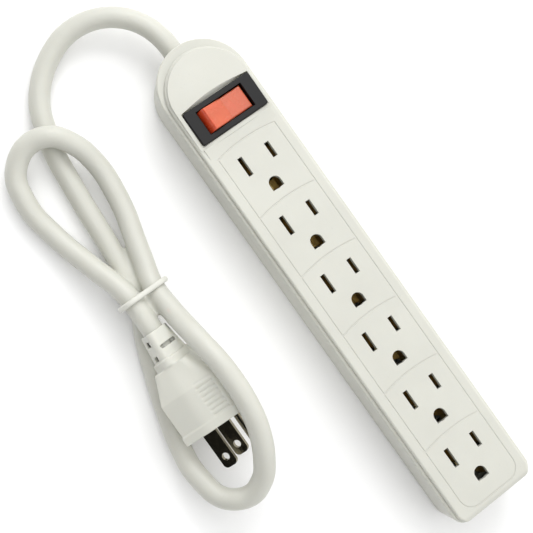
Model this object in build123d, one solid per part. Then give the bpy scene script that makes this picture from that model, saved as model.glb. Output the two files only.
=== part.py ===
from build123d import *
import os
from math import radians, sqrt, tan

# Six-outlet power strip, millimetres. Origin: centre of the flat underside that rests on the table.
# +Z up, +Y toward the end where the cord comes out, +X to the right seen from above.

# ---- housing shells
half_width = 19.6            # widest, at the ledge
end_y = -111.0               # square end
apex_y = 111.0               # tip of the rounded end
corner_radius = 5.5
face_height = 25.5           # outlet face above the table
ledge_height = 23.3          # ledge round the raised face
ledge_bevel = 0.45
draft_inset = 1.6            # how far the side walls lean in at the bottom
wall = 2.2
top_thickness = 2.4
floor_thickness = 2.2
parting_height = 5.0
bottom_edge = 2.6
plateau_half = 18.3
plateau_apex_y = 106.8
plateau_edge = 1.0
end_rounding = 2.6

# ---- head that carries the switch
head_low_y = 69.8
head_half = 17.5
head_apex_y = 106.0
head_rise = 1.7
head_crown_radius = 255.0
head_crown_y = 92.0

# ---- outlets, NEMA 5-15R
outlet_count = 6
first_outlet_y = 56.0
outlet_pitch = 28.4
blade_offset = 6.35          # each blade from the middle
pin_offset = 11.9            # ground pin below the blade line
neutral_slot = (2.1, 8.4)
line_slot = (2.1, 6.7)
ground_slot_radius = 2.7
ground_slot_depth = 2.5      # flat of the D below its centre
panel_half = 14.0
panel_arc_radius = 68.0
panel_arc_rise = 9.6         # arc crest above the blade line
panel_low_y = -107.6
groove_width = 0.6
groove_depth = 0.15

# ---- contact strips
bus_height = 8.0
bus_thickness = 0.6
bus_width = 4.0
leaf_thickness = 0.5
clip_top = 21.5
grip_height = 17.5

# ---- screws and mounting
screw_places = ((-12.2, 94.0), (12.2, 94.0), (-12.7, -20.0), (12.7, -20.0), (-12.7, -103.0), (12.7, -103.0))
screw_radius = 1.5
boss_radius = 3.1
keyhole_places = (46.0, -67.0)
keyhole_radius = 4.0
keyhole_neck = 2.0
keyhole_run = 8.0

# ---- switch
switch_x = 0.4
switch_y = 79.2
bezel_size = (32.1, 15.0)
bezel_top = 27.1
bezel_corner = 1.0
case_size = (24.6, 13.0)
case_low = 8.0
case_floor = 1.2
well_size = (22.0, 10.6)
pivot_height = 22.5
rocker_tilt = 10.0           # either side of level
rocker_reach = 10.6          # round ends, measured from the pivot
rocker_width = 9.8
rocker_crease = 3.7          # valley of the rocker's top above the pivot
rocker_skirt = 3.0
rocker_wall = 1.2
axle_radius = 1.5
axle_clearance = 0.05
arm_pivot_height = 12.6
arm_tilt = 7.0
arm_half = 7.0
arm_thickness = 0.8
arm_width = 4.4
contact_x = 6.0
terminal_x = 8.0
terminal_width = 4.8
terminal_low = 3.4
lead_height = 5.0

# ---- cord, 3-conductor with a round jacket
cord_radius = 4.4
wire_radius = 1.25
cord_height = 12.75
cord_inner_y = 98.0

# ---- plug, NEMA 5-15P, lying rolled on the table
plug_x = -74.4
plug_y = -20.0               # face the blades stand on
plug_z = 15.15
plug_roll = 52.5
relief_roll = 37.0
cord_in_plug = 2.0           # cord axis toward the ground pin from the blade line
blade_length = 16.2
blade_width = 6.35
blade_thickness = 1.5
pin_length = 19.4
pin_radius = 2.4
collar_start = 29.7
relief_start = 32.6
plug_length = 44.3
plug_cavity_end = 27.0
shoulder_round = 14.0

# ---- tie
tie_y = 38.2
tie_centres = ((-68.8, 6.7), (-62.3, 14.4), (-72.6, 14.9))
tie_gap = 0.5
tie_thickness = 1.6
tie_width = 2.2

switch_frame = Pos(switch_x, switch_y, 0)
plug_frame = Pos(plug_x, plug_y, plug_z) * Rot(0, plug_roll, 0)
outlet_lines = [first_outlet_y - outlet_pitch * row for row in range(outlet_count)]


def box_between(x0, x1, y0, y1, z0, z1):
    """Box from its low and high corners."""
    middle = Pos((x0 + x1) / 2, (y0 + y1) / 2, (z0 + z1) / 2)
    return middle * Box(x1 - x0, y1 - y0, z1 - z0)


def rod(x, y, z0, z1, radius):
    """Upright round bar."""
    return Pos(x, y, (z0 + z1) / 2) * Cylinder(radius, z1 - z0)


def rod_along_y(x, z, y0, y1, radius):
    """Round bar that lies along Y."""
    return Pos(x, (y0 + y1) / 2, z) * Rot(90, 0, 0) * Cylinder(radius, y1 - y0)


def rounded_outline(half, low_y, high_y, corner):
    """Plan outline: square end with rounded corners, half-round other end."""
    centre_y = high_y - half
    outline = Pos(0, (low_y + centre_y) / 2) * Rectangle(2 * half, centre_y - low_y)
    outline += Pos(0, centre_y) * Circle(half)
    return fillet(outline.vertices().group_by(Axis.Y)[0], corner)


def housing_section(height, inset):
    """Outline of the drafted housing at a height, drawn in by inset."""
    lean = draft_inset * (1 - height / ledge_height) + inset
    outline = rounded_outline(half_width - lean, end_y + lean, apex_y - lean, corner_radius - min(inset, 2.0))
    return Pos(0, 0, height) * outline


def housing_block(low, high, inset):
    """Solid between two heights of the drafted housing."""
    return loft([housing_section(low, inset), housing_section(high, inset)], ruled=True)


def plateau():
    """Raised outlet face with a softly rounded top edge."""
    outline = rounded_outline(plateau_half, end_y + 0.05, plateau_apex_y, 4.8)
    block = extrude(Pos(0, 0, ledge_height - 1.3) * outline, face_height - ledge_height + 1.3)
    return fillet(block.edges().group_by(Axis.Z)[-1], plateau_edge)


def end_edge_cutter():
    """Rounds the top edge of the square end."""
    block = box_between(-25, 25, end_y - 1, end_y + end_rounding, face_height - end_rounding, face_height + 1)
    round_y = end_y + end_rounding
    roller = Pos(0, round_y, face_height - end_rounding) * Rot(0, 90, 0) * Cylinder(end_rounding, 60)
    return block - roller


def head_pad():
    """Crowned pad round the switch, with a short ramp down to the first outlet."""
    low = rounded_outline(head_half, head_low_y, head_apex_y, 1.5)
    high = rounded_outline(head_half - 0.7, head_low_y + 0.7, head_apex_y - 0.7, 1.2)
    pad = extrude(Pos(0, 0, face_height - 0.5) * low, 1.1)
    pad += loft([Pos(0, 0, face_height + 0.6) * low, Pos(0, 0, face_height + 2.0) * high], ruled=True)
    crown_top = face_height + head_rise - 0.1
    pad &= Pos(0, head_crown_y, crown_top - head_crown_radius) * Sphere(head_crown_radius)
    ramp = Polyline((head_low_y + 0.6, 0.45), (head_low_y + 0.6, -0.4), (head_low_y - 4.3, -0.4),
                    (head_low_y - 4.3, 0), close=True)
    wedge = extrude(Plane.YZ * make_face(ramp), head_half - 1.2, both=True)
    return pad + Pos(0, 0, face_height) * wedge


def bulged_pocket(rise):
    """Bezel outline whose far side bulges outward by rise."""
    half_x = bezel_size[0] / 2 + 0.2
    half_y = bezel_size[1] / 2 + 0.2
    sides = Polyline((-half_x, half_y), (-half_x, -half_y), (half_x, -half_y), (half_x, half_y))
    crest = ThreePointArc((half_x, half_y), (0, half_y + rise), (-half_x, half_y))
    return make_face(Curve() + [sides, crest])


def bezel_pocket():
    """Seat of the bezel, with a sloped brow on its far side."""
    low = Pos(0, 0, face_height) * bulged_pocket(0.1)
    high = Pos(0, 0, face_height + head_rise + 0.2) * bulged_pocket(1.9)
    return switch_frame * loft([low, high], ruled=True)


def outlet_openings():
    """Blade slots and D-shaped ground holes through the face."""
    opening = Part()
    depth = 6
    for line_y in outlet_lines:
        opening += Pos(-blade_offset, line_y, face_height) * Box(*neutral_slot, depth)
        opening += Pos(blade_offset, line_y, face_height) * Box(*line_slot, depth)
        ground = Circle(ground_slot_radius)
        ground += Pos(0, -ground_slot_depth / 2) * Rectangle(2 * ground_slot_radius, ground_slot_depth)
        opening += Pos(0, line_y - pin_offset, face_height - depth / 2) * extrude(ground, depth)
    return opening


def panel_outline(grow):
    """Outline of the whole outlet field; its top is the first arc."""
    half = panel_half + grow
    high_y = first_outlet_y + panel_arc_rise + 1
    low_y = panel_low_y - grow
    field = Pos(0, (low_y + high_y) / 2) * Rectangle(2 * half, high_y - low_y)
    field = fillet(field.vertices().group_by(Axis.Y)[0], 6 + grow)
    crest_y = first_outlet_y + panel_arc_rise + grow
    cap = Pos(0, crest_y - panel_arc_radius) * Circle(panel_arc_radius)
    cap += Pos(0, low_y) * Rectangle(2 * half, 100)
    return field & cap


def panel_grooves():
    """Fine grooves that frame each outlet."""
    grooves = panel_outline(groove_width / 2) - panel_outline(-groove_width / 2)
    for line_y in outlet_lines[1:]:
        centre_y = line_y + panel_arc_rise - panel_arc_radius
        ring = Circle(panel_arc_radius + groove_width / 2) - Circle(panel_arc_radius - groove_width / 2)
        window = Pos(0, panel_arc_radius) * Rectangle(2 * panel_half, 20)
        grooves += Pos(0, centre_y) * (ring & window)
    return Pos(0, 0, face_height - groove_depth) * extrude(grooves, groove_depth + 1)


def top_cover():
    """Upper shell: side walls, outlet face, head, bosses and hold-down pegs."""
    shoulder = ledge_height - ledge_bevel
    shell = housing_block(parting_height, shoulder, 0)
    shell += loft([housing_section(shoulder, 0), housing_section(ledge_height, ledge_bevel)], ruled=True)
    shell += plateau()
    shell += head_pad()
    shell -= end_edge_cutter()
    ceiling = face_height - top_thickness
    shell -= housing_block(parting_height - 1, ceiling, wall)
    shell -= bezel_pocket()
    shell -= outlet_openings()
    shell -= panel_grooves()
    window_x = case_size[0] + 0.4
    window_y = case_size[1] + 0.4
    shell -= Pos(switch_x, switch_y, face_height) * Box(window_x, window_y, 10)
    for x, y in screw_places:
        shell += rod(x, y, bus_height + 0.1, ceiling + 0.5, boss_radius)
    for x, y in screw_places:
        shell -= rod(x, y, 0, 18, screw_radius + 0.05)
    for line_y in outlet_lines[:-1]:
        for x in (-blade_offset, 0, blade_offset):
            shell += rod(x, line_y - 18.5, bus_height + bus_thickness + 0.1, ceiling + 0.5, 1.3)
    shell -= rod_along_y(0, cord_height, 100, 120, cord_radius + 0.1)
    return shell


def keyhole(y):
    """Keyhole through the floor: the screw head enters low and slides to the narrow end."""
    cut = rod(0, y, -1, floor_thickness + 1, keyhole_radius)
    cut += box_between(-keyhole_neck, keyhole_neck, y, y + keyhole_run, -1, floor_thickness + 1)
    cut += rod(0, y + keyhole_run, -1, floor_thickness + 1, keyhole_neck)
    return cut


def base_tray():
    """Shallow lower shell: keyholes, screw bosses, strip supports and the cord cradle."""
    tray = housing_block(0, parting_height - 0.05, 0)
    tray = fillet(tray.edges().group_by(Axis.Z)[0], bottom_edge)
    tray -= housing_block(floor_thickness, parting_height + 1, wall)
    for x, y in screw_places:
        tray += rod(x, y, 1, bus_height, boss_radius)
    for line_y in outlet_lines:
        rib_y = line_y - 18.5
        if rib_y > end_y + 8:
            tray += box_between(-9, 9, rib_y - 0.8, rib_y + 0.8, 1, bus_height)
    for side in (-1, 1):
        tray += Pos(side * 6.2, 60.2, (1 + bus_height) / 2) * Box(5.4, 1.6, bus_height - 1)
    tray += box_between(-9, 9, -104.6, -103.0, 1, 6)
    tray += box_between(-5.5, 5.5, 99.5, 103.5, 1, 10.5)
    for x in (-8.0, 8.0):
        tray += rod(x, 101.5, 1, 12.3, 2.2)
    tray -= rod_along_y(0, cord_height, 95, 110, cord_radius + 0.05)
    for x in (-8.0, 8.0):
        tray -= rod(x, 101.5, 4, 13, 0.9)
    for x, y in screw_places:
        tray -= rod(x, y, -1, 9, screw_radius + 0.2)
        tray -= rod(x, y, -1, 3.0, 3.0)
    for y in keyhole_places:
        tray -= keyhole(y)
    return tray


def crossed_screw(head_radius, head_height, shank_radius, shank_length):
    """Pan-head screw, head down, bearing face at z = 0, cross recess in the head."""
    head = Pos(0, 0, -head_height / 2) * Cylinder(head_radius, head_height)
    head = chamfer(head.edges().group_by(Axis.Z)[0], head_height * 0.3)
    body = head + Pos(0, 0, shank_length / 2) * Cylinder(shank_radius, shank_length)
    for turn in (0, 90):
        body -= Pos(0, 0, -head_height) * Rot(0, 0, turn) * Box(head_radius * 1.2, 0.7, head_height)
    return chamfer(body.edges().group_by(Axis.Z)[-1], shank_radius * 0.4)


def housing_screws():
    """Six screws driven from below."""
    return Compound([Pos(x, y, 3.0) * crossed_screw(2.7, 1.9, screw_radius, 14) for x, y in screw_places])


def strip_clip(grip_half, foot_half, width):
    """Spring clip of two leaves that close on a blade or pin, as a profile drawn along Y."""
    low = bus_height + leaf_thickness / 2
    side = [(grip_half + 1.2, clip_top), (grip_half, grip_height), (foot_half, low + 3.5), (foot_half, low)]
    points = [(-x, z) for x, z in side] + [(x, z) for x, z in reversed(side)]
    outline = trace(Polyline(*points), line_width=leaf_thickness)
    return extrude(Plane.XZ * outline, width / 2, both=True)


def wire_barrel(x, y0, y1):
    """Crimp barrel that stands on a strip."""
    tube = rod_along_y(x, 10.1, y0, y1, wire_radius + 0.5)
    return tube


def bus_strip(x, y0, y1):
    """Flat strip that joins the clips."""
    half = bus_width / 2
    return box_between(x - half, x + half, y0, y1, bus_height, bus_height + bus_thickness)


def line_bus():
    """Brass strip with six clips for the narrow blades."""
    strip = bus_strip(blade_offset, -96, 66.5) + wire_barrel(blade_offset, 61.5, 66.5)
    for line_y in outlet_lines:
        strip += Pos(blade_offset, line_y, 0) * strip_clip(0.95, 1.9, 6.0)
    return strip - rod_along_y(blade_offset, 10.1, 61, 67, wire_radius + 0.05)


def neutral_bus():
    """Brass strip with six clips for the wide blades; it also takes the lamp's lead."""
    strip = bus_strip(-blade_offset, -96, 66.5)
    strip += box_between(-10, -3.6, 61.5, 66.5, bus_height, bus_height + bus_thickness)
    for x in (-5.0, -8.7):
        strip += wire_barrel(x, 61.5, 66.5)
    for line_y in outlet_lines:
        strip += Pos(-blade_offset, line_y, 0) * strip_clip(0.95, 1.9, 7.0)
    for x in (-5.0, -8.7):
        strip -= rod_along_y(x, 10.1, 61, 67, wire_radius + 0.05)
    return strip


def ground_bus():
    """Brass strip with six clips for the ground pins."""
    strip = bus_strip(0, -101.5, 59.5) + wire_barrel(0, 54.5, 59.5)
    for line_y in outlet_lines:
        strip += Pos(0, line_y - pin_offset, 0) * strip_clip(2.65, 2.7, 4.4)
    return strip - rod_along_y(0, 10.1, 54, 60, wire_radius + 0.05)


def terminal_cut(x):
    """Slot in the case floor for a terminal tab."""
    half = terminal_width / 2
    return box_between(x - 0.4, x + 0.4, -half, half, case_low - 1, case_low + case_floor + 1)


def switch_case():
    """Black bezel with the well and lower case in one moulding."""
    half_x = case_size[0] / 2
    half_y = case_size[1] / 2
    body = box_between(-half_x, half_x, -half_y, half_y, case_low, face_height)
    flange = extrude(RectangleRounded(*bezel_size, bezel_corner), bezel_top - face_height)
    flange = chamfer(flange.edges().group_by(Axis.Z)[-1], 0.35)
    body += Pos(0, 0, face_height) * flange
    well_x = well_size[0] / 2
    well_y = well_size[1] / 2
    body -= box_between(-well_x, well_x, -well_y, well_y, case_low + case_floor, bezel_top + 1)
    body -= rod_along_y(0, pivot_height, -6.2, 6.2, axle_radius + axle_clearance)
    for x in (-terminal_x, 0, terminal_x):
        body -= terminal_cut(x)
    return switch_frame * body


def terminal(x, plate_half):
    """Tab through the case floor with a plate lying on the floor inside."""
    half = terminal_width / 2
    floor_top = case_low + case_floor
    tab = box_between(x - 0.4, x + 0.4, -half, half, terminal_low, floor_top + 0.1)
    plate = box_between(x - plate_half, x + plate_half, -half, half, floor_top, floor_top + 0.8)
    return tab + plate


def line_in_terminal():
    """Terminal that carries the fixed contact."""
    return switch_frame * terminal(terminal_x, 2.6)


def line_out_terminal():
    """Middle terminal, with the knife edge that the contact arm rocks on."""
    post = box_between(-0.5, 0.5, -arm_width / 2, arm_width / 2, case_low + case_floor, 12.2)
    edge = extrude(Plane.XZ * make_face(Polyline((-0.5, 0), (0.5, 0), (0, 0.35), close=True)), arm_width / 2,
                   both=True)
    return switch_frame * (terminal(0, 2.6) + post + Pos(0, 0, 12.2) * edge)


def lamp_terminal():
    """Terminal that feeds the lamp from the neutral side."""
    return switch_frame * terminal(-terminal_x, 2.2)


def fixed_contact():
    """Silver rivet on the line terminal."""
    button = rod(contact_x, 0, 10.0, 10.9, 1.6)
    return switch_frame * fillet(button.edges().group_by(Axis.Z)[-1], 0.3)


def arm_place():
    """Rest place of the contact arm: far end up, so the switch is open."""
    return switch_frame * Pos(0, 0, arm_pivot_height) * Rot(0, -arm_tilt, 0)


def contact_arm():
    """Rocking blade that joins the middle terminal to the line terminal."""
    blade = box_between(-arm_half, arm_half + 0.6, -arm_width / 2, arm_width / 2, 0, arm_thickness)
    return arm_place() * blade


def moving_contact():
    """Silver rivet under the arm."""
    button = rod(contact_x, 0, -0.7, 0, 1.6)
    return arm_place() * fillet(button.edges().group_by(Axis.Z)[0], 0.25)


def rocker_place():
    """Rest place of the rocker: the right side pressed in."""
    return switch_frame * Pos(0, 0, pivot_height) * Rot(0, rocker_tilt, 0)


def rocker_profile(inset):
    """Side view of the rocker: shallow valley on top, ends round about the pivot."""
    slope = tan(radians(rocker_tilt))
    reach = rocker_reach - inset
    half = 12
    top = rocker_crease - inset
    outline = make_face(Polyline((-half, top + half * slope), (0, top), (half, top + half * slope),
                                 (half, -rocker_skirt), (-half, -rocker_skirt), close=True))
    return outline & Circle(reach)


def switch_rocker():
    """Translucent rocker with stub axles and a socket for the plunger."""
    body = extrude(Plane.XZ * rocker_profile(0), rocker_width / 2, both=True)
    rim = [edge for edge in body.edges() if edge.center().Z > rocker_crease - 0.5]
    body = fillet(rim, 0.7)
    hollow = extrude(Plane.XZ * rocker_profile(rocker_wall), rocker_width / 2 - rocker_wall, both=True)
    hollow -= rod(0, 0, -4, 4, 2.3)
    body -= hollow
    body += rod(0, 0, -rocker_skirt - 0.5, 3, 2.3)
    body -= rod(0, 0, -6, 1.0, 1.65)
    for side in (-1, 1):
        low = side * (rocker_width / 2 - 0.4)
        high = side * 6.15
        body += rod_along_y(0, 0, min(low, high), max(low, high), axle_radius)
    return rocker_place() * body


def switch_plunger():
    """Round-nosed plunger that presses the contact arm over."""
    nose_height = -7.8
    stem = rod(0, 0, nose_height, -2.2, 1.2)
    stem += Pos(0, 0, nose_height) * Sphere(1.2)
    stem += rod(0, 0, -2.9, -2.2, 1.55)
    return rocker_place() * stem


def plunger_spring():
    """Coil spring between the rocker's socket and the plunger."""
    coil = Helix(pitch=0.75, height=2.4, radius=1.1)
    start = Plane(origin=coil @ 0, z_dir=coil % 0)
    wire = sweep(start * Circle(0.18), path=coil, is_frenet=True)
    return rocker_place() * Pos(0, 0, -1.75) * wire


def neon_lamp():
    """Small glass indicator lamp under the left half of the rocker."""
    bulb = Rot(0, 90, 0) * Cylinder(1.5, 4.4)
    bulb = fillet(bulb.edges(), 0.6)
    lead = Pos(2.5, 0, 0) * Rot(0, 90, 0) * Cylinder(0.2, 1.0)
    return rocker_place() * Pos(-5.9, 0, 0.6) * (bulb + lead)


def lamp_resistor():
    """Series resistor under the right half of the rocker."""
    body = Rot(0, 90, 0) * Cylinder(1.1, 4.2)
    body = fillet(body.edges(), 0.3)
    for side in (-1, 1):
        body += Pos(side * 2.4, 0, 0) * Rot(0, 90, 0) * Cylinder(0.2, 1.0)
    return rocker_place() * Pos(5.7, 0, 0.6) * body


def crimp_connector(x, barrel_side):
    """Receptacle pushed over a terminal tab, with a barrel for the wire."""
    half = terminal_width / 2 + 0.6
    shell = box_between(x - 1.4, x + 1.4, -half, half, terminal_low - 0.4, 7.4)
    near = barrel_side * (half - 0.5)
    far = barrel_side * (half + 4.5)
    shell += rod_along_y(x, lead_height, min(near, far), max(near, far), wire_radius + 0.45)
    inner = terminal_width / 2 + 0.05
    shell -= box_between(x - 0.45, x + 0.45, -inner, inner, terminal_low - 0.1, 8)
    bore_start = barrel_side * (half - 0.2)
    bore_end = barrel_side * (half + 5)
    bore_low, bore_high = sorted((bore_start, bore_end))
    shell -= rod_along_y(x, lead_height, bore_low, bore_high, wire_radius + 0.05)
    return switch_frame * shell


def crimp_connectors():
    """Three identical receptacles on the switch terminals."""
    left = crimp_connector(-terminal_x, -1)
    middle = crimp_connector(0, -1)
    right = crimp_connector(terminal_x, 1)
    return Compound([left, middle, right])


def plug_point(x, y, z):
    """Point given in the plug's own frame."""
    return (plug_frame * Pos(x, y, z)).position


def cord_points():
    """Points of the cord's centre line: out of the housing, round the coil, into the plug."""
    coil = [
        (-7.3, 132.8, 11.6), (-26.8, 141.8, 8.6), (-45.0, 135.6, 5.6), (-54.3, 126.5, 4.6),
        (-61.2, 109.0, 4.6), (-64.2, 86.0, 4.6), (-66.0, 60.0, 4.9), (-67.8, 44.0, 6.4), (-68.8, 38.2, 6.7),
        (-71.0, 32.5, 6.2), (-74.6, 25.5, 4.9), (-80.4, 11.0, 4.7), (-85.3, -4.0, 4.9), (-89.5, -18.8, 6.8),
        (-91.2, -31.0, 10.5), (-86.4, -47.0, 16.5), (-79.7, -49.9, 20.0), (-73.0, -47.0, 25.1),
        (-67.6, -39.0, 30.6), (-63.7, -28.5, 34.3), (-61.6, -15.0, 36.0), (-61.4, -2.0, 35.7),
        (-62.2, 11.8, 29.9), (-62.6, 26.2, 19.9), (-62.3, 38.2, 14.4), (-58.6, 51.5, 11.0),
        (-52.2, 75.7, 8.0), (-51.3, 89.5, 8.6), (-54.8, 102.4, 12.2), (-61.2, 110.1, 14.2),
        (-69.0, 112.4, 12.2), (-79.6, 106.6, 7.8), (-83.3, 92.9, 5.6), (-81.1, 75.9, 5.6),
        (-76.9, 58.5, 9.6), (-73.3, 44.0, 13.9), (-72.6, 38.2, 14.9),
    ]
    start = [(0, cord_inner_y, cord_height), (0, cord_inner_y + 15, cord_height)]
    finish = [tuple(plug_point(0, y, cord_in_plug)) for y in (plug_length - 1, plug_cavity_end)]
    return start + coil + finish


def arc_pair(start, start_heading, end, end_heading):
    """Two circular arcs that leave start and reach end along the given headings."""
    across = end - start
    headings = start_heading + end_heading
    spread = 2 * (1 - start_heading.dot(end_heading))
    if spread < 1e-6:
        return [Line(start, end).edge()]
    reach = across.dot(headings)
    arm = (sqrt(reach * reach + spread * across.dot(across)) - reach) / spread
    leaving = start + start_heading * arm
    arriving = end - end_heading * arm
    middle = (leaving + arriving) * 0.5
    first = Edge.make_tangent_arc(start, start_heading, middle)
    second = Edge.make_tangent_arc(middle, arriving - leaving, end)
    return [first, second]


def heading_at(before, here, after):
    """Heading through here, along the circle through the three points."""
    back = here - before
    ahead = after - here
    blend = back * (ahead.length / back.length) + ahead * (back.length / ahead.length)
    return blend.normalized()


def smooth_path(points, start_heading, end_heading):
    """Path of arcs through the points, with no kink between them."""
    headings = [Vector(*start_heading)]
    for before, here, after in zip(points, points[1:], points[2:]):
        headings.append(heading_at(before, here, after))
    headings.append(Vector(*end_heading))
    edges = []
    for index in range(len(points) - 1):
        edges += arc_pair(points[index], headings[index], points[index + 1], headings[index + 1])
    return edges


def round_bar(edges, radius):
    """Round bar along a chain of arcs and lines."""
    path = Wire(edges)
    start = Plane(origin=path @ 0, z_dir=path % 0)
    return sweep(start * Circle(radius), path=path)


def threaded_path(points):
    """Path of arcs whose first and last stretches are straight."""
    places = [Vector(*point) for point in points]
    leaving = (places[1] - places[0]).normalized()
    arriving = (places[-1] - places[-2]).normalized()
    first = Line(places[0], places[1]).edge()
    last = Line(places[-2], places[-1]).edge()
    return [first] + smooth_path(places[1:-1], leaving, arriving) + [last]


def cord_jacket():
    """Round jacket with its conductors inside, from the housing to the plug."""
    return round_bar(threaded_path(cord_points()), cord_radius)


def lead(points):
    """Short insulated wire through the points."""
    return round_bar(threaded_path(points), wire_radius)


def line_wire():
    """Black wire: cord to the switch's line terminal."""
    x = switch_x + terminal_x
    return lead([(1.5, cord_inner_y - 0.1, 11.9), (1.5, 96.8, 11.9), (4.9, 92.6, 8.2), (x, 87.4, lead_height),
                 (x, switch_y + 3.4, lead_height)])


def neutral_wire():
    """White wire: cord to the neutral strip."""
    return lead([(-1.5, cord_inner_y - 0.1, 11.9), (-1.5, 96.8, 11.9), (-3.6, 87, lead_height),
                 (-3.6, 74, lead_height), (-5.0, 67, 10.1), (-5.0, 62, 10.1)])


def ground_wire():
    """Green wire: cord to the ground strip."""
    return lead([(0, cord_inner_y - 0.1, 14.4), (0, 96.8, 14.4), (3.9, 85.6, lead_height), (4.2, 75, 3.9),
                 (2.4, 67.4, 3.9), (0, 60.4, 10.1), (0, 55, 10.1)])


def switch_to_bus_wire():
    """Black jumper from the switched terminal to the line strip."""
    return lead([(switch_x, switch_y - 3.4, lead_height), (switch_x, 71.3, lead_height),
                 (3.0, 69.2, 7.8), (blade_offset, 66.8, 10.1), (blade_offset, 62, 10.1)])


def lamp_wire():
    """White jumper from the neutral strip to the lamp terminal."""
    x = switch_x - terminal_x
    return lead([(x, switch_y - 3.4, lead_height), (x, 71.3, lead_height),
                 (-8.7, 66.8, 10.1), (-8.7, 62, 10.1)])


def plug_wires():
    """Three short wires from the cord's end to the blades, inside the plug."""
    ends = ((blade_offset, 0), (-blade_offset, 0), (0, pin_offset))
    starts = ((1.5, 2.8), (-1.5, 2.8), (0, 0.2))
    wires = []
    for start, end in zip(starts, ends):
        route = [(start[0], plug_cavity_end - 0.1, start[1]), (start[0], plug_cavity_end - 1.2, start[1]),
                 (end[0], 15.4, end[1]), (end[0], 14.6, end[1])]
        wires.append(plug_frame * lead(route))
    return Compound(wires)


def cord_clamp():
    """Saddle that holds the jacket down on the cradle."""
    strap = rod_along_y(0, cord_height, 99.6, 103.4, 6.2)
    strap &= box_between(-12, 12, 99, 104, 12.4, 22)
    strap += box_between(-10.2, 10.2, 99.6, 103.4, 12.4, 14.4)
    strap -= rod_along_y(0, cord_height, 95, 110, cord_radius + 0.05)
    for x in (-8.0, 8.0):
        strap -= rod(x, 101.5, 12, 15, 0.95)
    return strap


def clamp_screws():
    """Two small screws of the cord clamp."""
    upside_down = Rot(180, 0, 0)
    screw = crossed_screw(1.7, 1.2, 0.85, 8)
    return Compound([Pos(x, 101.5, 14.4) * upside_down * screw for x in (-8.0, 8.0)])


def plug_section(y, wide, narrow, low, high, shoulder, corner):
    """Plug cross-section: parallel sides past the blades, tapering toward the ground pin."""
    half = Polyline((0, low), (wide, low), (wide, shoulder), (narrow, high), (0, high))
    outline = make_face(half + mirror(half, Plane.YZ))
    outline = fillet(outline.vertices().filter_by(lambda v: abs(v.Y - shoulder) < 0.01), shoulder_round)
    outline = fillet(outline.vertices().filter_by(lambda v: abs(v.X) > 0.5 and v.Y in (low, high)), corner)
    return Plane(origin=(0, y, 0), x_dir=(1, 0, 0), z_dir=(0, -1, 0)) * outline


def relief_section(y, size, corner):
    """Rounded square of the strain relief, rolled about the cord axis."""
    outline = Rot(0, 0, relief_roll) * RectangleRounded(size, size, corner)
    return Plane(origin=(0, y, cord_in_plug), x_dir=(1, 0, 0), z_dir=(0, -1, 0)) * outline


def grip_ribs():
    """Finger ribs on the tapered sides, cut as shallow grooves."""
    cuts = Part()
    for index in range(8):
        y = 4.6 + index * 2.0
        for side in (-1, 1):
            blade = Pos(side * 9.75, y, 12) * Rot(0, -side * 18.3, 0) * Box(1.6, 0.9, 7.4)
            cuts += blade
    return cuts


def relief_windows():
    """Alternate window slots that let the strain relief bend."""
    cuts = Part()
    frame = Pos(0, 0, cord_in_plug) * Rot(0, -relief_roll, 0)
    for side in (-1, 1):
        for y in (34.2, 40.6):
            cuts += frame * Pos(side * 5.6, y, 0) * Box(3.4, 2.1, 3.8)
        cuts += frame * Pos(0, 37.4, side * 5.9) * Box(7.0, 1.5, 3.4)
    return cuts


def plug_body():
    """Moulded plug body with collar and strain relief."""
    full = plug_section(0, 12.2, 7.4, -8.0, 18.0, 3.5, 4.0)
    rim = plug_section(0, 12.6, 7.8, -8.4, 18.4, 3.5, 4.2)
    neck = plug_section(0, 8.2, 6.6, -6.0, 10.5, 2.4, 3.4)
    back = Pos(0, 29.4, 0)
    body = loft([rim, Pos(0, 3.6, 0) * rim], ruled=True)
    body += loft([full, Pos(0, 18, 0) * full], ruled=True)
    body += loft([Pos(0, 18, 0) * full, back * neck], ruled=True)
    body += loft([relief_section(29.0, 12.6, 3.2), relief_section(collar_start, 12.6, 3.2)], ruled=True)
    collar = [relief_section(collar_start, 14.6, 4.0), relief_section(relief_start, 14.2, 3.8)]
    relief = [relief_section(relief_start, 12.4, 3.0), relief_section(plug_length, 9.8, 2.4)]
    body += loft(collar, ruled=True)
    body += loft(relief, ruled=True)
    body -= grip_ribs()
    body -= plug_core_block()
    body -= box_between(-7.8, 7.8, 14, plug_cavity_end, -4.5, 13.4) & cavity_limit()
    body -= relief_windows()
    body = plug_frame * body
    return body - plug_bore() - blade_bodies()


def cavity_limit():
    """Keeps the wiring space inside the tapering back of the plug."""
    front = Plane(origin=(0, 13, 4), x_dir=(1, 0, 0), z_dir=(0, -1, 0)) * Rectangle(17, 22)
    far_end = (0, plug_cavity_end, cord_in_plug)
    back = Plane(origin=far_end, x_dir=(1, 0, 0), z_dir=(0, -1, 0)) * Rectangle(9, 9)
    return loft([front, back], ruled=True)


def plug_bore():
    """Hole for the cord through the strain relief."""
    bore = rod_along_y(0, 0, plug_cavity_end - 1, plug_length + 2, cord_radius + 0.05)
    return plug_frame * Pos(0, 0, cord_in_plug) * bore


def plug_core_block():
    """Hard insert that holds the blades in line."""
    return box_between(-9.2, 9.2, 1.4, 12.0, -5.0, 5.0) + box_between(-6.4, 6.4, 1.4, 12.0, 5.0, 15.2)


def plug_core():
    """Hard insert with the blades' places cut out."""
    return plug_frame * plug_core_block() - blade_bodies()


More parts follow.
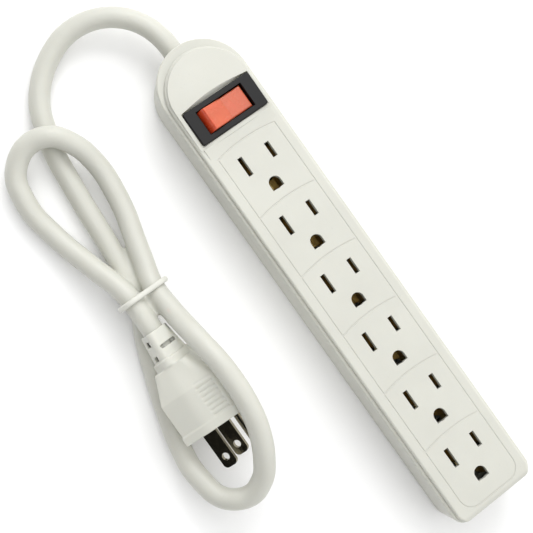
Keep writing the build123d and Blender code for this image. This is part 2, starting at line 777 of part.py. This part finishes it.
def flat_blade(x):
    """Flat blade with a round hole near its rounded tip, and a tail inside the plug."""
    half = blade_width / 2
    blade = box_between(x - blade_thickness / 2, x + blade_thickness / 2, -blade_length, 14.5, -half, half)
    tip = blade.edges().filter_by(Axis.X).group_by(Axis.Y)[0]
    blade = fillet(tip, 1.9)
    hole = Pos(x, -blade_length + 4.4, 0) * Rot(0, 90, 0) * Cylinder(1.6, 4)
    return plug_frame * (blade - hole)


def line_blade():
    """Narrow-slot blade."""
    return flat_blade(blade_offset)


def neutral_blade():
    """Wide-slot blade."""
    return flat_blade(-blade_offset)


def ground_pin():
    """Round ground pin with a domed tip."""
    pin = rod_along_y(0, pin_offset, -pin_length, 14.5, pin_radius)
    return plug_frame * fillet(pin.edges().group_by(Axis.Y)[0], 2.2)


def blade_bodies():
    """All three contacts of the plug, for cutting their places."""
    return Compound([line_blade(), neutral_blade(), ground_pin()])


def tie_outline(radius):
    """Band outline round the three strands."""
    circles = [Pos(x, z) * Circle(radius).edge() for x, z in tie_centres]
    return make_hull(circles)


def twist_tie():
    """Coated band that holds the coil together."""
    ring = tie_outline(cord_radius + tie_gap + tie_thickness) - tie_outline(cord_radius + tie_gap)
    band = Pos(0, tie_y, 0) * extrude(Plane.XZ * ring, tie_width / 2, both=True)
    return fillet(band.edges(), 0.75)


nodes = {
    "top_cover": top_cover,
    "base_tray": base_tray,
    "housing_screws": housing_screws,
    "line_bus": line_bus,
    "neutral_bus": neutral_bus,
    "ground_bus": ground_bus,
    "switch_case": switch_case,
    "line_in_terminal": line_in_terminal,
    "line_out_terminal": line_out_terminal,
    "lamp_terminal": lamp_terminal,
    "fixed_contact": fixed_contact,
    "contact_arm": contact_arm,
    "moving_contact": moving_contact,
    "switch_rocker": switch_rocker,
    "switch_plunger": switch_plunger,
    "plunger_spring": plunger_spring,
    "neon_lamp": neon_lamp,
    "lamp_resistor": lamp_resistor,
    "crimp_connectors": crimp_connectors,
    "switch_to_bus_wire": switch_to_bus_wire,
    "lamp_wire": lamp_wire,
    "cord_clamp": cord_clamp,
    "clamp_screws": clamp_screws,
    "cord_jacket": cord_jacket,
    "line_wire": line_wire,
    "neutral_wire": neutral_wire,
    "ground_wire": ground_wire,
    "plug_wires": plug_wires,
    "plug_body": plug_body,
    "plug_core": plug_core,
    "line_blade": line_blade,
    "neutral_blade": neutral_blade,
    "ground_pin": ground_pin,
    "twist_tie": twist_tie,
}

os.makedirs("parts", exist_ok=True)
for name, build in nodes.items():
    export_step(build(), f"parts/{name}.step")
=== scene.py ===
import math

import bmesh
import bpy
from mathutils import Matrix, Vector, noise


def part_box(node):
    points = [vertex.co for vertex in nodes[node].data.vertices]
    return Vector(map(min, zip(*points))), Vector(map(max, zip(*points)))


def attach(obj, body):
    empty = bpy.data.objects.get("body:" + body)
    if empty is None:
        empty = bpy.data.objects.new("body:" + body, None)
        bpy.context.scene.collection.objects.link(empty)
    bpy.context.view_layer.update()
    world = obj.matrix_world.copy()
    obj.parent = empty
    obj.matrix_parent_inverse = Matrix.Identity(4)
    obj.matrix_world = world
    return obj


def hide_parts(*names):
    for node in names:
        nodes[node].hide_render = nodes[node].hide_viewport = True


# Looks of the six-outlet power strip: procedural plastics and metals, a soft cord, studio light.

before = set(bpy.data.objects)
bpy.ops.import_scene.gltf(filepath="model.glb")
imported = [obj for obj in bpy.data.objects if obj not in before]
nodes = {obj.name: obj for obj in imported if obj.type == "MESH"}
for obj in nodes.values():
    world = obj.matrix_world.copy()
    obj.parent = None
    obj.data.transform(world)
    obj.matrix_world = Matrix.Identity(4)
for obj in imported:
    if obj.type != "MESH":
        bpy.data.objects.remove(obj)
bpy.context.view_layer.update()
MM = 0.001
SHARP_ANGLE = math.radians(32)

# Sizes of the surface noise, in cells per metre.
CLOUDS = 38
SHEEN_PATCHES = 60
SLOW_WAVES = 120
SCUFFS = 260
STAINS = 420
SPECKS = 900
DRAWN_LINES = 2200
SPARK_TEXTURE = 2600

# Studio: soft boxes, white dome with a dark flag, camera.
KEY_PLACE = (0.5, 0.75, 0.9)
KEY_SIZE = 0.7
KEY_POWER = 6.2
TOP_PLACE = (-0.1, 0.1, 1.2)
TOP_SIZE = 0.9
TOP_POWER = 2.2
DOME_STRENGTH = 1.08
FLAG_STRENGTH = 0.03
FLAG_SIDE = (-0.97, 0.0, 0.24)
FLAG_EDGE = 0.5
FLAG_CORE = 0.88
FLOOR_DROP = 0.2 * MM
FLOOR_SIZE = 3.0
CAMERA_PLACE = (-0.13424, 0.03349, 0.51616)
CAMERA_TURN = (6.168, -11.353, -36.150)   # degrees
CAMERA_LENS = 86.4
SENSOR_WIDTH = 36


# ---- small helpers for materials

class Graph:
    """Short names for the nodes of one material."""

    def __init__(self, name):
        self.material = bpy.data.materials.new(name)
        self.material.use_nodes = True
        self.tree = self.material.node_tree
        self.tree.nodes.clear()
        self.shader = self.add("ShaderNodeBsdfPrincipled")
        output = self.add("ShaderNodeOutputMaterial")
        self.join(self.shader.outputs["BSDF"], output.inputs["Surface"])
        self.place = self.add("ShaderNodeTexCoord").outputs["Object"]

    def add(self, kind, **settings):
        """New node with its settings."""
        node = self.tree.nodes.new(kind)
        for key, value in settings.items():
            setattr(node, key, value)
        return node

    def join(self, source, target):
        """Link from an output to an input."""
        self.tree.links.new(source, target)

    def put(self, target, value):
        """Sets an input to a number, a colour or another node's output."""
        if isinstance(value, bpy.types.NodeSocket):
            self.join(value, target)
        elif isinstance(value, tuple) and len(value) == 3 and target.type == "RGBA":
            target.default_value = (*value, 1)
        else:
            target.default_value = value

    def stretch(self, scale):
        """Object coordinates stretched along the axes."""
        mapping = self.add("ShaderNodeMapping")
        self.join(self.place, mapping.inputs["Vector"])
        mapping.inputs["Scale"].default_value = scale
        return mapping.outputs["Vector"]

    def noise(self, scale, detail=3.0, vector=None):
        """Cloudy noise, scale in cells per metre."""
        node = self.add("ShaderNodeTexNoise")
        self.join(vector or self.place, node.inputs["Vector"])
        node.inputs["Scale"].default_value = scale
        node.inputs["Detail"].default_value = detail
        return node.outputs["Fac"]

    def spread(self, value, low, high, out_low=0.0, out_high=1.0):
        """Maps a range of one value to another range."""
        node = self.add("ShaderNodeMapRange")
        self.put(node.inputs["Value"], value)
        for key, number in zip(("From Min", "From Max", "To Min", "To Max"), (low, high, out_low, out_high)):
            node.inputs[key].default_value = number
        return node.outputs["Result"]

    def mix(self, share, first, second):
        """Mix of two colours."""
        node = self.add("ShaderNodeMix", data_type="RGBA")
        self.put(node.inputs["Factor"], share)
        self.put(node.inputs[6], first)
        self.put(node.inputs[7], second)
        return node.outputs[2]

    def sum(self, first, second, operation="ADD"):
        """One step of arithmetic."""
        node = self.add("ShaderNodeMath", operation=operation)
        self.put(node.inputs[0], first)
        self.put(node.inputs[1], second)
        return node.outputs[0]

    def height(self, value, depth, strength=1.0, edge=None):
        """Bump of the given depth in metres, over softened edges."""
        bump = self.add("ShaderNodeBump")
        bump.inputs["Strength"].default_value = strength
        bump.inputs["Distance"].default_value = depth
        self.put(bump.inputs["Height"], value)
        if edge:
            soft = self.add("ShaderNodeBevel", samples=6)
            soft.inputs["Radius"].default_value = edge
            self.join(soft.outputs["Normal"], bump.inputs["Normal"])
        self.join(bump.outputs["Normal"], self.shader.inputs["Normal"])

    def recess(self, reach, low, high):
        """Share of painted shade, rising in narrow holes and creases where the occlusion probe finds little
        open space.
        """
        probe = self.add("ShaderNodeAmbientOcclusion", samples=12)
        probe.inputs["Distance"].default_value = reach
        return self.spread(probe.outputs["AO"], low, high, 1, 0)

    def edge_highlight(self, radius):
        """Share of painted highlight, rising on sharp edges."""
        soft = self.add("ShaderNodeBevel", samples=6)
        soft.inputs["Radius"].default_value = radius
        flat = self.add("ShaderNodeNewGeometry")
        dot = self.add("ShaderNodeVectorMath", operation="DOT_PRODUCT")
        self.join(soft.outputs["Normal"], dot.inputs[0])
        self.join(flat.outputs["Normal"], dot.inputs[1])
        return self.spread(self.sum(1.0, dot.outputs["Value"], "SUBTRACT"), 0.02, 0.35)

    def along_x(self):
        """Object coordinate along X."""
        split = self.add("ShaderNodeSeparateXYZ")
        self.join(self.place, split.inputs["Vector"])
        return split.outputs["X"]


def shade(colour, factor):
    """Colour made lighter or darker."""
    return tuple(min(1.0, channel * factor) for channel in colour)


def moulded_plastic(name, colour, roughness, grain=0.03 * MM, edge=0.4 * MM, soft=0.0, recess_shade=None):
    """Injection-moulded plastic: cloudy tint, fine spark texture, scuffs, a painted highlight on edges, and
    painted shade in recesses when given.
    """
    g = Graph(name)
    clouds = g.spread(g.noise(CLOUDS, 4), 0.35, 0.65)
    tint = g.mix(clouds, shade(colour, 0.965), shade(colour, 1.015))
    specks = g.spread(g.noise(SPECKS, 2), 0.68, 0.74)
    tint = g.mix(g.sum(specks, 0.25, "MULTIPLY"), tint, shade(colour, 0.8))
    # Painted highlight: edges paler where the softened normal turns from the flat one.
    highlight_share = g.sum(g.edge_highlight(edge * 1.6), 0.4, "MULTIPLY")
    tint = g.mix(highlight_share, tint, shade(colour, 1.12))
    if recess_shade:
        dark, reach, low, high = recess_shade
        # Painted shade: colour darkened toward the shade colour in holes and creases.
        tint = g.mix(g.recess(reach, low, high), tint, dark)
    g.put(g.shader.inputs["Base Color"], tint)
    scuffs = g.spread(g.noise(SCUFFS, 5, g.stretch((1, 0.2, 1))), 0.55, 0.75, 0, 0.14)
    patches = g.spread(g.noise(SHEEN_PATCHES, 4), 0.3, 0.7, roughness - 0.05, roughness + 0.06)
    g.put(g.shader.inputs["Roughness"], g.sum(patches, scuffs))
    texture = g.sum(g.noise(SPARK_TEXTURE, 2), g.sum(g.noise(SLOW_WAVES, 3), 1.5, "MULTIPLY"))
    g.height(texture, grain, 0.6, edge)
    g.shader.inputs["IOR"].default_value = 1.5
    g.shader.inputs["Subsurface Weight"].default_value = soft
    g.shader.inputs["Subsurface Radius"].default_value = (0.004, 0.0032, 0.0022)
    g.shader.inputs["Subsurface Scale"].default_value = 1.0
    return g.material


def metal(name, colour, roughness, brush, stain=None):
    """Strip or turned metal: drawn lines, stains and a painted highlight on edges."""
    edge = 0.1 * MM
    g = Graph(name)
    lines = g.noise(DRAWN_LINES, 3, g.stretch(brush))
    patches = g.spread(g.noise(STAINS, 4), 0.42, 0.66)
    tint = g.mix(lines, shade(colour, 0.93), shade(colour, 1.06))
    tint = g.mix(g.sum(patches, 0.3, "MULTIPLY"), tint, stain or shade(colour, 0.6))
    # Painted highlight: edges brighter where the softened normal turns from the flat one.
    tint = g.mix(g.sum(g.edge_highlight(edge * 2), 0.5, "MULTIPLY"), tint, shade(colour, 1.25))
    g.put(g.shader.inputs["Base Color"], tint)
    g.shader.inputs["Metallic"].default_value = 1.0
    rough = g.sum(g.spread(lines, 0.3, 0.7, roughness - 0.07, roughness + 0.07),
                  g.sum(patches, 0.12, "MULTIPLY"))
    g.put(g.shader.inputs["Roughness"], rough)
    g.height(lines, 0.012 * MM, 0.5, edge)
    return g.material


# ---- the materials

WHITE = (0.605, 0.605, 0.545)

# Painted shade inside holes and creases: colour, reach of the probe, openness where the shade is full,
# openness where it ends.
RECESS_SHADE = ((0.36, 0.33, 0.17), 1.2 * MM, 0.03, 0.3)
WINDOW_SHADE = ((0.03, 0.027, 0.018), 2.2 * MM, 0.12, 0.6)

housing = moulded_plastic("housing_plastic", WHITE, 0.42, edge=0.22 * MM, soft=0.05, recess_shade=RECESS_SHADE)
tray = moulded_plastic("tray_plastic", shade(WHITE, 0.97), 0.45)
cord_vinyl = moulded_plastic("cord_vinyl", shade(WHITE, 0.98), 0.4, grain=0.05 * MM, edge=0.3 * MM, soft=0.08)
plug_vinyl = moulded_plastic("plug_vinyl", shade(WHITE, 1.1), 0.45, grain=0.05 * MM, edge=0.5 * MM, soft=0.08,
                             recess_shade=WINDOW_SHADE)
black = moulded_plastic("bezel_plastic", (0.009, 0.009, 0.0095), 0.4, edge=0.3 * MM)
black.node_tree.nodes["Principled BSDF"].inputs["Specular IOR Level"].default_value = 0.3
natural = moulded_plastic("natural_nylon", (0.66, 0.63, 0.54), 0.4)
tie_coat = moulded_plastic("tie_coating", (0.68, 0.68, 0.62), 0.38, edge=0.3 * MM)
brass = metal("strip_brass", (0.66, 0.53, 0.25), 0.36, (1, 0.05, 1), stain=(0.28, 0.16, 0.06))
tin = metal("terminal_brass", (0.74, 0.63, 0.38), 0.34, (1, 0.1, 1))
silver = metal("contact_silver", (0.86, 0.85, 0.82), 0.22, (1, 1, 0.2))
# Painted dark reflection: the nickel colour is darkened far below bright nickel so the blades read nearly
# black.
darkened_nickel = metal("blade_nickel", (0.27, 0.245, 0.18), 0.1, (1, 0.06, 1), stain=(0.2, 0.17, 0.11))
zinc = metal("zinc_steel", (0.66, 0.66, 0.64), 0.33, (1, 1, 0.1))
wire_black = moulded_plastic("wire_black", (0.012, 0.012, 0.012), 0.35)
wire_white = moulded_plastic("wire_white", (0.72, 0.72, 0.7), 0.35)
wire_green = moulded_plastic("wire_green", (0.012, 0.16, 0.045), 0.35)


def rocker_plastic():
    """Translucent red plastic, with painted shade: deeper red toward its left end, which turns away from the
    light.
    """
    g = Graph("rocker_red")
    shaded_red = (0.76, 0.05, 0.008)
    bright = (0.63, 0.13, 0.06)
    clouds = g.spread(g.noise(140, 3), 0.3, 0.7)
    tint = g.mix(clouds, shade(bright, 0.93), shade(bright, 1.05))
    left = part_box("switch_rocker")[0].x
    # Painted shade: the red deepens over the left end, which faces away from the light.
    end = g.spread(g.along_x(), left, left + 3.5 * MM, 1, 0)
    tint = g.mix(end, tint, shaded_red)
    g.put(g.shader.inputs["Base Color"], tint)
    g.put(g.shader.inputs["Roughness"], g.spread(g.noise(300, 4), 0.3, 0.7, 0.2, 0.32))
    g.height(g.noise(1500, 2), 0.01 * MM, 0.5, 0.3 * MM)
    g.shader.inputs["Subsurface Weight"].default_value = 0.35
    g.shader.inputs["Subsurface Radius"].default_value = (0.004, 0.001, 0.0006)
    g.shader.inputs["Subsurface Scale"].default_value = 1.0
    g.shader.inputs["Coat Weight"].default_value = 0.3
    g.shader.inputs["Coat Roughness"].default_value = 0.12
    return g.material


def lamp_glass():
    """Clear lamp tube with a faint orange fill."""
    g = Graph("lamp_glass")
    clouds = g.spread(g.noise(900, 3), 0.35, 0.65)
    g.put(g.shader.inputs["Base Color"], g.mix(clouds, (0.95, 0.62, 0.42), (0.98, 0.8, 0.66)))
    g.put(g.shader.inputs["Roughness"], g.spread(g.noise(500, 2), 0.3, 0.7, 0.03, 0.12))
    g.shader.inputs["Transmission Weight"].default_value = 0.8
    g.height(g.noise(700, 2), 0.01 * MM, 0.4)
    return g.material


def banded_resistor():
    """Lacquered body with colour bands across it."""
    g = Graph("resistor_bands")
    low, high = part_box("lamp_resistor")
    along = g.spread(g.along_x(), low.x, high.x)
    ramp = g.add("ShaderNodeValToRGB")
    ramp.color_ramp.interpolation = "CONSTANT"
    tan = (0.55, 0.37, 0.16, 1)
    stops = ((0.0, tan), (0.26, (0.16, 0.05, 0.02, 1)), (0.36, tan), (0.44, (0.02, 0.02, 0.02, 1)),
             (0.54, tan), (0.62, (0.75, 0.3, 0.02, 1)), (0.72, tan))
    for index, (where, colour) in enumerate(stops):
        stop = ramp.color_ramp.elements[0] if index == 0 else ramp.color_ramp.elements.new(where)
        stop.position = where
        stop.color = colour
    g.join(along, ramp.inputs["Fac"])
    clouds = g.spread(g.noise(1200, 2), 0.4, 0.6, 0, 0.18)
    g.put(g.shader.inputs["Base Color"], g.mix(clouds, ramp.outputs["Color"], (0.3, 0.2, 0.1)))
    g.put(g.shader.inputs["Roughness"], g.spread(g.noise(900, 3), 0.3, 0.7, 0.25, 0.4))
    g.height(g.noise(1400, 2), 0.02 * MM, 0.5)
    return g.material


finishes = {
    housing: ["top_cover"],
    tray: ["base_tray"],
    zinc: ["housing_screws", "clamp_screws", "cord_clamp", "plunger_spring"],
    brass: ["line_bus", "neutral_bus", "ground_bus", "contact_arm"],
    tin: ["line_in_terminal", "line_out_terminal", "lamp_terminal", "crimp_connectors"],
    silver: ["fixed_contact", "moving_contact"],
    black: ["switch_case"],
    rocker_plastic(): ["switch_rocker"],
    natural: ["switch_plunger", "plug_core"],
    lamp_glass(): ["neon_lamp"],
    banded_resistor(): ["lamp_resistor"],
    wire_black: ["switch_to_bus_wire", "line_wire", "plug_wires"],
    wire_white: ["lamp_wire", "neutral_wire"],
    wire_green: ["ground_wire"],
    cord_vinyl: ["cord_jacket"],
    plug_vinyl: ["plug_body"],
    darkened_nickel: ["line_blade", "neutral_blade", "ground_pin"],
    tie_coat: ["twist_tie"],
}
for material, names in finishes.items():
    for name in names:
        mesh = nodes[name].data
        mesh.materials.clear()
        mesh.materials.append(material)

for node in nodes.values():
    node.data.shade_smooth()
    node.data.set_sharp_from_angle(angle=SHARP_ANGLE)


# ---- soft vinyl pieces, rebuilt as smooth skins over the solids

def soft_skin(name, node, voxel, rounds, swell, wave):
    """Smooth skin in the place of a solid: remeshed, eased, faintly wavy, flat where it meets the table."""
    piece = bpy.data.objects.new(name, nodes[node].data.copy())
    bpy.context.scene.collection.objects.link(piece)
    skin = piece.modifiers.new("skin", "REMESH")
    skin.mode = "VOXEL"
    skin.voxel_size = voxel
    skin.use_smooth_shade = True
    ease = piece.modifiers.new("ease", "SMOOTH")
    ease.factor = 0.5
    ease.iterations = rounds
    graph = bpy.context.evaluated_depsgraph_get()
    mesh = bpy.data.meshes.new_from_object(piece.evaluated_get(graph), depsgraph=graph)
    piece.modifiers.clear()
    piece.data = mesh
    mesh.materials.clear()
    mesh.materials.append(nodes[node].data.materials[0])
    waves_per_metre = 90
    offsets = []
    for vertex in mesh.vertices:
        offsets.append(vertex.normal * (swell + wave * noise.noise(vertex.co * waves_per_metre)))
    for vertex, offset in zip(mesh.vertices, offsets):
        vertex.co += offset
        vertex.co.z = max(vertex.co.z, 0.0)
    mesh.shade_smooth()
    mesh.update()
    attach(piece, "strip")
    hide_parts(node)


soft_skin("cord", "cord_jacket", voxel=0.8 * MM, rounds=5, swell=0.02 * MM, wave=0.08 * MM)
soft_skin("plug_moulding", "plug_body", voxel=0.28 * MM, rounds=2, swell=0.0, wave=0.02 * MM)
soft_skin("coated_tie", "twist_tie", voxel=0.22 * MM, rounds=6, swell=0.03 * MM, wave=0.04 * MM)


# ---- floor, light and camera

def make_floor():
    """Pale table with a faint cloudy tint."""
    mesh = bpy.data.meshes.new("table_top")
    shape = bmesh.new()
    bmesh.ops.create_grid(shape, x_segments=8, y_segments=8, size=FLOOR_SIZE)
    shape.to_mesh(mesh)
    shape.free()
    floor = bpy.data.objects.new("table_top", mesh)
    bpy.context.scene.collection.objects.link(floor)
    floor.location.z = -FLOOR_DROP
    g = Graph("table_white")
    g.put(g.shader.inputs["Base Color"], g.mix(g.noise(3, 2), (0.95, 0.95, 0.95), (0.97, 0.97, 0.97)))
    g.shader.inputs["Roughness"].default_value = 0.9
    mesh.materials.append(g.material)


def area_light(name, place, size, power):
    """Square soft box aimed at the middle of the strip."""
    data = bpy.data.lights.new(name, "AREA")
    data.size = size
    data.energy = power
    lamp = bpy.data.objects.new(name, data)
    bpy.context.scene.collection.objects.link(lamp)
    lamp.location = place
    lamp.rotation_euler = (-Vector(place)).to_track_quat("-Z", "Y").to_euler()


make_floor()
area_light("key", KEY_PLACE, KEY_SIZE, KEY_POWER)
area_light("top", TOP_PLACE, TOP_SIZE, TOP_POWER)


def studio_world():
    """White dome with a dark flag low on the left, which the blades mirror."""
    world = bpy.data.worlds.new("studio")
    bpy.context.scene.world = world
    world.use_nodes = True
    tree = world.node_tree
    background = tree.nodes["Background"]
    place = tree.nodes.new("ShaderNodeTexCoord")
    dot = tree.nodes.new("ShaderNodeVectorMath")
    dot.operation = "DOT_PRODUCT"
    dot.inputs[1].default_value = FLAG_SIDE
    tree.links.new(place.outputs["Generated"], dot.inputs[0])
    flag = tree.nodes.new("ShaderNodeMapRange")
    flag.inputs["From Min"].default_value = FLAG_EDGE
    flag.inputs["From Max"].default_value = FLAG_CORE
    flag.inputs["To Min"].default_value = DOME_STRENGTH
    flag.inputs["To Max"].default_value = FLAG_STRENGTH
    tree.links.new(dot.outputs["Value"], flag.inputs["Value"])
    tree.links.new(flag.outputs["Result"], background.inputs["Strength"])
    background.inputs["Color"].default_value = (1, 1, 1, 1)


studio_world()

lens = bpy.data.cameras.new("camera")
lens.lens = CAMERA_LENS
lens.sensor_width = SENSOR_WIDTH
lens.clip_start = 0.01
camera = bpy.data.objects.new("camera", lens)
bpy.context.scene.collection.objects.link(camera)
camera.location = CAMERA_PLACE
camera.rotation_euler = [math.radians(angle) for angle in CAMERA_TURN]
bpy.context.scene.camera = camera

bpy.context.scene.view_settings.view_transform = "Standard"
bpy.context.scene.view_settings.exposure = 0.0
